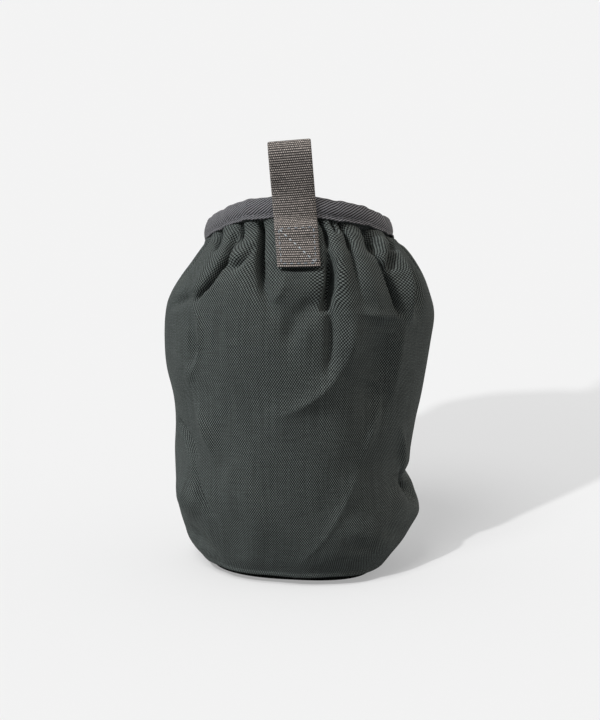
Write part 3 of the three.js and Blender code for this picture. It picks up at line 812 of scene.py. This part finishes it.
loop = new_piece(
    "pouch_webbing_loop",
    strap_points,
    [grid_faces(rib_rows, 2 * ACROSS_POINTS, False), end_faces(rib_rows, 2 * ACROSS_POINTS)],
    np.concatenate([grid_map(strap_around, lengths), end_map[::-1], end_map]),
)

# %% [markdown]
# ## Stitches
# The webbing is held by a box of stitches with one slanting row, and the tape by a row just above its lip.
# They could be painted on, but thread is a real shape that catches the light: each stitch is a short tube
# that swells in the middle and dives into the cloth at both ends. All stitches of a piece are worked out
# together, as one array with a row of rings for every stitch.

# %% Shape of a stitch
STITCH_RINGS = 6
STITCH_SIDES = 6
END_SHARE = 0.94  # how near to a point the ends of a stitch come


def stitches(name, starts, ends, out, radius, arch):
    """Short tubes from starts to ends: the radius follows a half ellipse and the middle arches outwards."""
    t = np.linspace(-1, 1, STITCH_RINGS)
    swell = np.sqrt(1 - (END_SHARE * t) ** 2)
    turn = 2 * math.pi * np.arange(STITCH_SIDES) / STITCH_SIDES
    side = unit(np.cross(out, unit(ends - starts)))
    middle = (starts + ends)[:, None] / 2 + (ends - starts)[:, None] / 2 * t[None, :, None]
    middle = middle + out[:, None] * (arch * (1 - t * t))[None, :, None]
    ring = side[:, None] * np.cos(turn)[None, :, None] + out[:, None] * np.sin(turn)[None, :, None]
    points = middle[:, :, None] + ring[:, None] * (radius * swell)[None, :, None, None]
    first = np.arange(len(starts))[:, None, None] * STITCH_RINGS * STITCH_SIDES
    faces = [
        (grid_faces(STITCH_RINGS, STITCH_SIDES, False)[None] + first).reshape(-1, 4),
        (end_faces(STITCH_RINGS, STITCH_SIDES)[None] + first).reshape(-1, STITCH_SIDES),
    ]
    tube_map = grid_map(np.linspace(0, 1, STITCH_SIDES + 1), np.linspace(0, 1, STITCH_RINGS))
    end_map = np.zeros((2 * STITCH_SIDES * len(starts), 2))
    return new_piece(name, points, faces, np.concatenate([np.tile(tube_map, (len(starts), 1)), end_map]))


print("points in a stitch:", STITCH_RINGS * STITCH_SIDES)

# %% Build the stitches
BOX_LOW = 1.6  # rows of the box, as lengths up from the webbing's lower end
BOX_HIGH = 18.2
BOX_HALF = 8.0  # half the width of the box
BOX_STITCH = 3.0  # pitch of the stitches
STITCH_GAP = 1.4  # part of the pitch that stays free
STITCH_SINK = RIB_HEIGHT / 3  # how far a stitch's ends lie below the tops of the ribs
BOX_THREAD = 0.33  # radius of the thread
BOX_ARCH = 0.165  # how far the middle of a stitch stands out
BOX_FRAME = [
    # start and end as (across, along)
    (-BOX_HALF, BOX_LOW, BOX_HALF, BOX_LOW),
    (-BOX_HALF, BOX_HIGH, BOX_HALF, BOX_HIGH),
    (-BOX_HALF, BOX_LOW, -BOX_HALF, BOX_HIGH),
    (BOX_HALF, BOX_LOW, BOX_HALF, BOX_HIGH),
]
BOX_SLANT = [(-BOX_HALF, BOX_HIGH, BOX_HALF, BOX_LOW)]
TAPE_STITCHES = 96
TAPE_STITCH_SHARE = 0.82  # share of the pitch that a stitch covers
TAPE_THREAD = 0.24  # radius of the thread and arch of a stitch, as for the box
TAPE_ARCH = 0.072


def box_stitch_ends(lines):
    """Starts and ends of box stitches, as (across, along): each line is cut into equal stitches."""
    starts, ends = [], []
    for a0, l0, a1, l1 in lines:
        count = round(math.hypot(a1 - a0, l1 - l0) / BOX_STITCH)
        share = np.arange(count) / count
        trim = STITCH_GAP / 2 / BOX_STITCH / count
        for store, at in [(starts, share + trim), (ends, share + 1 / count - trim)]:
            store.append(np.column_stack([a0 + (a1 - a0) * at, l0 + (l1 - l0) * at]))
    return np.concatenate(starts), np.concatenate(ends)


def on_strap(places, inside):
    """Points on the outer face of the webbing and the way out, counted from its front or its inner end."""
    along = route_length[-1] - places[:, 1] if inside else places[:, 1]
    height = np.full(len(places), WEBBING / 2 - STITCH_SINK)
    face = strap_point(along, places[:, 0], height)
    return face, unit(face - strap_point(along, places[:, 0], height - 1))


def box_pieces(name, lines):
    """All stitches of some lines of the box: one piece on the front leg and one on the leg inside."""
    pieces = []
    for place, inside in [("front", False), ("inside", True)]:
        (starts, start_out), (ends, end_out) = [on_strap(p, inside) for p in box_stitch_ends(lines)]
        out = unit(start_out + end_out)
        pieces.append(stitches(f"{name}_{place}", starts, ends, out, BOX_THREAD, BOX_ARCH))
    return pieces


frame_pieces = box_pieces("pouch_box_stitches", BOX_FRAME)
slant_pieces = box_pieces("pouch_slant_stitches", BOX_SLANT)
tape_pieces = []
stitch_turn = 2 * math.pi / TAPE_STITCHES
stitch_angle = np.arange(TAPE_STITCHES) * stitch_turn
stitch_level = np.full(TAPE_STITCHES, TAPE_LOW + TAPE_LIP)
for place, offset, outwards in [("outside", face_out, 1), ("inside", face_in, -1)]:
    offsets = np.full(TAPE_STITCHES, offset)
    starts = tape_point(stitch_angle, stitch_level, offsets)
    ends = tape_point(stitch_angle + stitch_turn * TAPE_STITCH_SHARE, stitch_level, offsets)
    out = wall_frame(stitch_angle, stitch_level)[1] * outwards
    tape_pieces.append(stitches(f"pouch_tape_stitches_{place}", starts, ends, out, TAPE_THREAD, TAPE_ARCH))

# %% [markdown]
# ## Colours and nodes
# Colours are easiest to read off as sRGB hex values, but shaders work with linear light, so one function
# turns one into the other. A second adds a node, sets its options and feeds its inputs. The four finishes of
# this pouch are all woven or twisted from yarn, so they share three patterns: a wave, an unevenness of
# yarns, and the way a relief in two colours becomes a surface.

# %% Colour and node helpers
def linear(hex_colour):
    """Linear RGBA of an sRGB hex colour: the dark end is a straight line, the rest a power of 2.4."""
    values = [int(hex_colour[i:i + 2], 16) / 255 for i in (1, 3, 5)]
    return [v / 12.92 if v <= 0.04045 else ((v + 0.055) / 1.055) ** 2.4 for v in values] + [1.0]


def add(tree, kind, inputs, **settings):
    """Adds one node with its settings. An input takes a value, a node (its first output) or an output."""
    new = tree.nodes.new("ShaderNode" + kind)
    for option, value in settings.items():
        setattr(new, option, value)
    for socket, value in inputs.items():
        if isinstance(value, bpy.types.Node):
            value = value.outputs[0]
        if isinstance(value, bpy.types.NodeSocket):
            tree.links.new(value, new.inputs[socket])
        else:
            new.inputs[socket].default_value = value
    return new


def new_material(name):
    """Empty node material and its tree."""
    material = bpy.data.materials.new(name)
    material.use_nodes = True
    material.node_tree.nodes.clear()
    return material, material.node_tree


def wave(tree, place, factor, shift):
    """Sine of a place times a factor plus a shift."""
    turn = add(tree, "Math", {0: place, 1: factor, 2: shift}, operation="MULTIPLY_ADD")
    return add(tree, "Math", {0: turn}, operation="SINE")


def yarn_noise(tree, cloth, across, along, spread, detail=2.0):
    """Shade that wavers round one by a spread, with some spots in a millimetre across and along."""
    scaled = add(tree, "Mapping", {0: cloth, 3: (across, along, 1.0)})
    noise = add(tree, "TexNoise", {"Vector": scaled, "Scale": 1.0, "Detail": detail})
    return add(tree, "MapRange", {0: noise, 1: 0.3, 2: 0.7, 3: 1 - spread, 4: 1 + spread})


def yarn_surface(tree, share, low_hex, high_hex, shade, relief, depth, finish):
    """Ends a material: two colours mixed by a share, times a shade, with a relief as bump.

    The depth of the relief is a strength and a height in millimetres.
    """
    yarn = add(tree, "Mix", {0: share, 6: linear(low_hex), 7: linear(high_hex)}, data_type="RGBA")
    colour = add(tree, "Mix", {
        0: 1.0, 6: yarn.outputs[2], 7: shade,
    }, data_type="RGBA", blend_type="MULTIPLY")
    strength, distance = depth
    bump = add(tree, "Bump", {"Strength": strength, "Distance": distance * MM, "Height": relief})
    shader = add(tree, "BsdfPrincipled", {"Base Color": colour.outputs[2], "Normal": bump, **finish})
    add(tree, "OutputMaterial", {"Surface": shader})


print("a mid grey of #808080 is", round(linear("#808080")[0], 3), "as linear light")

# %% [markdown]
# ## Woven nylon
# The shell is plain-woven nylon of thick yarn. Each yarn goes over and under the next, so the eye sees a
# fine checker of small humps with dark corners between them, a faint sheen where the cloth turns away, and
# streaks because no two yarns are alike. The checker is painted: the humps of the yarns that run up are
# painted lit, and the corners and the humps of the yarns that run round are painted near black as shade. An
# image of cloth could be laid on, but drawn yarns can follow the pleats. The real yarns lie about 0.55 mm
# apart round the pouch and 0.7 mm up it. That is hardly more than a pixel of the picture, so they are drawn
# slightly coarser here.

# %% Nylon cloth
WARP_YARNS = 680  # yarns that run up the wall, counted round it
WARP_PITCH = CUT_ROUND / WARP_YARNS
WEFT_PITCH = 0.74  # yarns that run round it
YARN_DRIFT = 1.6  # how far yarns drift from straight lines
YARN_DRIFT_LENGTH = 16.0
NYLON_SHADES = [
    # spots in a millimetre round and up the wall, spread of their shade
    (1.2, 0.03, 0.16),  # yarns that run up
    (0.12, 1.1, 0.14),  # yarns that run round
    (0.06, 0.06, 0.07),  # soft patches
]


def woven_nylon(name, lit_hex, sunk_shade_hex):
    """Plain weave: the sign of sine times sine tells which yarn is on top; each yarn is an arched sine."""
    material, tree = new_material(name)
    cloth = add(tree, "UVMap", {}, uv_map=CLOTH_MAP)
    drift = add(tree, "TexNoise", {"Vector": cloth, "Scale": 1 / YARN_DRIFT_LENGTH})
    drifted = add(tree, "VectorMath", {
        0: drift.outputs["Color"], 1: (YARN_DRIFT, YARN_DRIFT, 0.0), 2: cloth,
    }, operation="MULTIPLY_ADD")
    place = add(tree, "SeparateXYZ", {0: drifted})
    warp = wave(tree, place.outputs["X"], math.pi / WARP_PITCH, 0.0)
    weft = wave(tree, place.outputs["Y"], math.pi / WEFT_PITCH, 0.0)
    both = add(tree, "Math", {0: warp, 1: weft}, operation="MULTIPLY")
    warp_on_top = add(tree, "MapRange", {0: both, 1: -0.25, 2: 0.25})
    warp_arch = add(tree, "Math", {0: warp}, operation="ABSOLUTE")
    weft_arch = add(tree, "Math", {0: weft}, operation="ABSOLUTE")
    height = add(tree, "Mix", {0: warp_on_top, 2: weft_arch, 3: warp_arch})
    # painted light and shade: humps of the yarns that run up are painted lit, the corners and the yarns that
    # run round painted near black as shade
    lit = add(tree, "MapRange", {0: both, 1: -0.1, 2: 0.35})
    shade = 1.0
    for across, along, spread in NYLON_SHADES:
        noise = yarn_noise(tree, cloth, across, along, spread)
        shade = add(tree, "Math", {0: shade, 1: noise}, operation="MULTIPLY")
    yarn_surface(tree, lit, sunk_shade_hex, lit_hex, shade, height, (0.75, 0.18), {
        "Roughness": 0.8,
        "IOR": 1.53,
        "Specular IOR Level": 0.2,
        "Sheen Weight": 0.05,
        "Sheen Roughness": 0.35,
        "Sheen Tint": linear("#b9c7c0"),
    })
    return material


# the second colour of each weave is near black painted shade for the hollows and the yarns that lie under
shell_cloth = woven_nylon("woven_nylon_grey_green", "#575e5c", "#040505")
# the base is the same cloth, painted much darker as the shade it lies in under the wall's foot
base_cloth = woven_nylon("woven_nylon_base_painted_shade", "#2c2f2e", "#030404")
print("yarns drawn", round(WARP_PITCH, 2), "by", WEFT_PITCH, "mm apart")

# %% [markdown]
# ## Twill tape
# The binding is a twill tape of spun yarn. Twill is woven in steps, so slanting ridges climb across the tape
# to the right with fine dark lines between them, which are painted shade in the grooves. It has a dry, matt
# face, a little lighter than the cloth and slightly violet. The ridges lie about 1 mm apart, which the picture
# just shows, so a slanting wave on the tape's own map is enough.

# %% Tape
TWILL_PITCH = 1.0  # distance between ridges
TWILL_ANGLE = math.radians(33)


def twill_tape(name, ridge_hex, line_shade_hex):
    """Slanting ridges: an arched sine of the distance from a line that climbs to the right."""
    material, tree = new_material(name)
    cloth = add(tree, "UVMap", {}, uv_map=CLOTH_MAP)
    place = add(tree, "SeparateXYZ", {0: cloth})
    ridges_round = round(TAPE_ROUND * math.sin(TWILL_ANGLE) / TWILL_PITCH)
    turn_back = -math.pi * ridges_round / TAPE_ROUND
    back = add(tree, "Math", {0: place.outputs["X"], 1: turn_back}, operation="MULTIPLY")
    slant = wave(tree, place.outputs["Y"], math.pi * math.cos(TWILL_ANGLE) / TWILL_PITCH, back)
    ridge = add(tree, "Math", {0: slant}, operation="ABSOLUTE")
    # painted shade: the grooves between the ridges are painted near black
    lit = add(tree, "MapRange", {0: ridge, 1: 0.54, 2: 0.88})
    fibres = yarn_noise(tree, cloth, 1.6, 1.6, spread=0.28, detail=3.0)
    yarn_surface(tree, lit, line_shade_hex, ridge_hex, fibres, ridge, (0.6, 0.22), {
        "Roughness": 0.9,
        "IOR": 1.5,
        "Specular IOR Level": 0.2,
        "Sheen Weight": 0.1,
        "Sheen Roughness": 0.6,
    })
    return material


# the near black second colour is painted shade for the grooves between the twill's ridges
binding_tape = twill_tape("twill_tape_grey", "#6c6c70", "#060607")
print("twill ridges", TWILL_PITCH, "mm apart")

# %% [markdown]
# ## Ribbed webbing
# The loop is nylon webbing in a warm grey. Its ribs are real, so the material only adds what the eye sees
# between and on them: grooves in painted shade, beads with a painted highlight where the yarn catches the
# light, and yarns of different grey. Real beads lie about 0.8 mm apart; they are drawn a little wider, so
# that the picture can show them.

# %% Webbing
BEAD_PITCH = 0.95  # one bead across the webbing


def ribbed_webbing(name, bead_hex, groove_shade_hex):
    """Grooves by an arched sine along the strip; beads by one across it, half a bead on from rib to rib."""
    material, tree = new_material(name)
    cloth = add(tree, "UVMap", {}, uv_map=CLOTH_MAP)
    place = add(tree, "SeparateXYZ", {0: cloth})
    rib_wave = wave(tree, place.outputs["Y"], math.pi / RIB_PITCH, 0.0)
    rib = add(tree, "Math", {0: rib_wave}, operation="ABSOLUTE")
    # painted shade: the grooves between the ribs are painted near black
    lit = add(tree, "MapRange", {0: rib, 1: 0.5, 2: 0.92})
    ribs_passed = add(tree, "Math", {0: place.outputs["Y"], 1: 1 / RIB_PITCH}, operation="MULTIPLY")
    rib_number = add(tree, "Math", {0: ribs_passed}, operation="FLOOR")
    step = add(tree, "Math", {0: rib_number, 1: math.pi / 2, 2: math.pi / 2}, operation="MULTIPLY_ADD")
    bead_wave = wave(tree, place.outputs["X"], math.pi / BEAD_PITCH, step)
    bead = add(tree, "Math", {0: bead_wave}, operation="ABSOLUTE")
    # painted highlight and shade: bead tops brightened up to 1.8 times, the gaps between beads darkened
    bead_light = add(tree, "MapRange", {0: bead, 1: 0.3, 2: 0.95, 3: 0.3, 4: 1.8})
    yarns = yarn_noise(tree, cloth, 1.1, 1.1, spread=0.5)
    shade = add(tree, "Math", {0: bead_light, 1: yarns}, operation="MULTIPLY")
    yarn_surface(tree, lit, groove_shade_hex, bead_hex, shade, bead, (0.5, 0.2), {
        "Roughness": 0.7,
        "IOR": 1.53,
        "Specular IOR Level": 0.3,
        "Sheen Weight": 0.1,
    })
    return material


webbing = ribbed_webbing("ribbed_nylon_webbing_warm_grey", "#746e6a", "#050505")
print("ribs", RIB_PITCH, "mm apart")

# %% [markdown]
# ## Sewing thread
# Thread is polyester, twisted from finer strands, with a slight shine. The box is sewn in a cool blue-grey
# that stands out on the warm webbing; its slanting row is the same thread painted paler, as painted light
# for the more light that it catches. The row on the tape is close to the tape's own grey. The twist could be
# modelled, but a stitch is hardly more than a pixel thick, so it is drawn as slanting stripes, four turns to
# a stitch: pale strands and dark grooves, painted light and shade.

# %% Thread
TWIST_TURNS = 4
NO_SHADE = (1.0, 1.0, 1.0, 1.0)


def twisted_thread(name, light_hex, strand_shade_hex):
    """Slanting stripes: a sine of the turn round the thread plus the length along it."""
    material, tree = new_material(name)
    place = add(tree, "SeparateXYZ", {0: add(tree, "UVMap", {}, uv_map=CLOTH_MAP)})
    around = add(tree, "Math", {0: place.outputs["X"], 1: 2 * math.pi}, operation="MULTIPLY")
    strand = wave(tree, place.outputs["Y"], 2 * math.pi * TWIST_TURNS, around)
    # painted light and shade: pale stripes for the lit strands, dark stripes for the shaded grooves between
    # them
    lit = add(tree, "MapRange", {0: strand, 1: -1.0, 2: 1.0})
    yarn_surface(tree, lit, strand_shade_hex, light_hex, NO_SHADE, strand, (0.4, 0.08), {
        "Roughness": 0.5,
        "IOR": 1.55,
        "Specular IOR Level": 0.4,
    })
    return material


# each thread's second colour is painted shade for the grooves between its strands
box_thread = twisted_thread("polyester_thread_blue_grey", "#949ca4", "#30353a")
# the same thread as the box, painted paler as painted light for the more light the slanting row catches
lit_slant_thread = twisted_thread("polyester_thread_blue_grey_painted_lit", "#bfc8cf", "#50575d")
tape_thread = twisted_thread("polyester_thread_grey", "#747478", "#454549")
print("threads:", box_thread.name, lit_slant_thread.name, tape_thread.name)

# %% [markdown]
# ## Join the pieces to the frame
# Each piece takes its finish, rides on the one body of the pouch and stands for its solid; the stitches have
# no solid.

# %% Finish, ride and replace
DRESSED = [
    # piece, material, material slot, solid it stands for
    (body, shell_cloth, "shell_cloth", "body"),
    (base_panel, base_cloth, "base_cloth", "base_panel"),
    (rim_tape, binding_tape, "binding_tape", "rim_binding"),
    (loop, webbing, "webbing", "webbing_loop"),
]
DRESSED += [(piece, box_thread, "webbing", None) for piece in frame_pieces]
DRESSED += [(piece, lit_slant_thread, "webbing", None) for piece in slant_pieces]
DRESSED += [(piece, tape_thread, "binding_tape", None) for piece in tape_pieces]
for piece, material, slot, solid in DRESSED:
    piece.data.materials.append(material)
    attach(piece, "root")
    if solid:
        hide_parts(solid)

print("pieces dressed:", len(DRESSED))

# %% [markdown]
# ## Floor
# The pouch stands on plain pale paper that runs out of the picture on all sides. A near lamp at the front
# left throws the long shadow that spreads to the right. It makes the paper brighter close to it. A bigger
# lamp would light the paper more evenly but blur the shadow, so instead the paper glows for the camera
# with just what is missing at each place.

# %% Floor
FLOOR_REACH = 14.0  # half the floor's width, in metres
FLOOR_ALBEDO = 0.55
FLOOR_GLOW = 0.555  # what the floor is to glow where the near lamp does not reach
NEAR_LAMP = (-0.279, -0.574, 0.455)  # place of the near lamp, in metres
NEAR_LIT = 0.36  # how bright it makes the floor right below it

floor_mesh = bpy.data.meshes.new("studio_floor")
floor_corners = [(-1, -1, 0), (1, -1, 0), (1, 1, 0), (-1, 1, 0)]
floor_mesh.from_pydata([tuple(FLOOR_REACH * v for v in p) for p in floor_corners], [], [(0, 1, 2, 3)])
floor = new_object("studio_floor", floor_mesh)
paper, tree = new_material("matt_studio_paper")
matt = add(tree, "BsdfDiffuse", {"Color": (FLOOR_ALBEDO, FLOOR_ALBEDO, FLOOR_ALBEDO, 1)})
spot = add(tree, "TexCoord", {}).outputs["Object"]
way = add(tree, "VectorMath", {0: spot, 1: NEAR_LAMP}, operation="DISTANCE").outputs["Value"]
slant = add(tree, "Math", {0: NEAR_LAMP[2], 1: way}, operation="DIVIDE")
missing = add(tree, "Math", {0: slant, 1: -NEAR_LIT, 2: FLOOR_GLOW}, operation="MULTIPLY_ADD")
seen = add(tree, "LightPath", {}).outputs["Is Camera Ray"]
glow = add(tree, "Emission", {"Strength": add(tree, "Math", {0: seen, 1: missing}, operation="MULTIPLY")})
add(tree, "OutputMaterial", {"Surface": add(tree, "AddShader", {0: matt, 1: glow})})
floor_mesh.materials.append(paper)
print("floor:", 2 * FLOOR_REACH, "m wide")

# %% [markdown]
# ## Light
# A fairly hard lamp at the left models the folds, a broad one high on the right fills their dark sides, and
# a weak one behind on the right lifts the edge. Soft light comes from all around, most of it from behind.
# One set of lamps could light both pouch and floor, but then the floor would get several shadows, so each
# lamp is told what it lights. The floor has the near lamp, which doesn't fade with distance, and a soft one.

# %% Lamps
NEAR_RADIUS = 0.012  # size of the near lamp, in metres
LAMPS = [
    # name, what it lights, turn to the camera's left and height (degrees), strength, softness, colour
    ("side_lamp", "pouch", 62, 42, 4.3, 8.0, "#ffffff"),
    ("fill_lamp", "pouch", -65, 58, 1.6, 40.0, "#fff4ea"),
    ("rim_lamp", "pouch", -118, 20, 0.35, 30.0, "#fff8f2"),
    ("floor_soft_lamp", "floor", 25, 50, 1.1, 25.0, "#ffffff"),
]
SKY_FRONT = 0.36  # soft light from behind the camera
SKY_BACK = 0.53  # soft light from behind the pouch
lit_pieces = {"pouch": [row[0] for row in DRESSED], "floor": [floor]}


def place_lamp(lamp, lit):
    """Puts a lamp into the scene and tells it which pieces it lights."""
    holder = new_object(lamp.name, lamp)
    reached = bpy.data.collections.new("lit_by_" + lamp.name)
    for piece in lit_pieces[lit]:
        reached.objects.link(piece)
    holder.light_linking.receiver_collection = reached
    return holder


for name, lit, turn, height, strength, softness, colour in LAMPS:
    lamp = bpy.data.lights.new(name, "SUN")
    lamp.energy = strength
    lamp.color = linear(colour)[:3]
    lamp.angle = math.radians(softness)
    place_lamp(lamp, lit).rotation_euler = (math.radians(90 - height), 0, -math.radians(turn))

near_lamp = bpy.data.lights.new("floor_near_lamp", "POINT")
# a point lamp sends its energy over 4 pi to all sides, and matt paper gives back its albedo over pi
near_lamp.energy = 4 * math.pi ** 2 * NEAR_LIT / FLOOR_ALBEDO
near_lamp.shadow_soft_size = NEAR_RADIUS
near_lamp.use_nodes = True
steady = add(near_lamp.node_tree, "LightFalloff", {"Strength": 1.0}).outputs["Constant"]
near_lamp.node_tree.links.new(steady, near_lamp.node_tree.nodes["Emission"].inputs["Strength"])
place_lamp(near_lamp, "floor").location = NEAR_LAMP

sky = bpy.data.worlds.new("soft_studio")
sky.use_nodes = True
tree = sky.node_tree
tree.nodes.clear()
towards = add(tree, "SeparateXYZ", {0: add(tree, "TexCoord", {}).outputs["Generated"]}).outputs["Y"]
brightness = add(tree, "MapRange", {0: towards, 1: -1.0, 2: 1.0, 3: SKY_FRONT, 4: SKY_BACK})
add(tree, "OutputWorld", {"Surface": add(tree, "Background", {"Strength": brightness})})
bpy.context.scene.world = sky
bpy.context.scene.view_settings.view_transform = "Standard"
print("lamps:", ", ".join(row[0] for row in LAMPS), "and soft light", SKY_FRONT, "to", SKY_BACK)
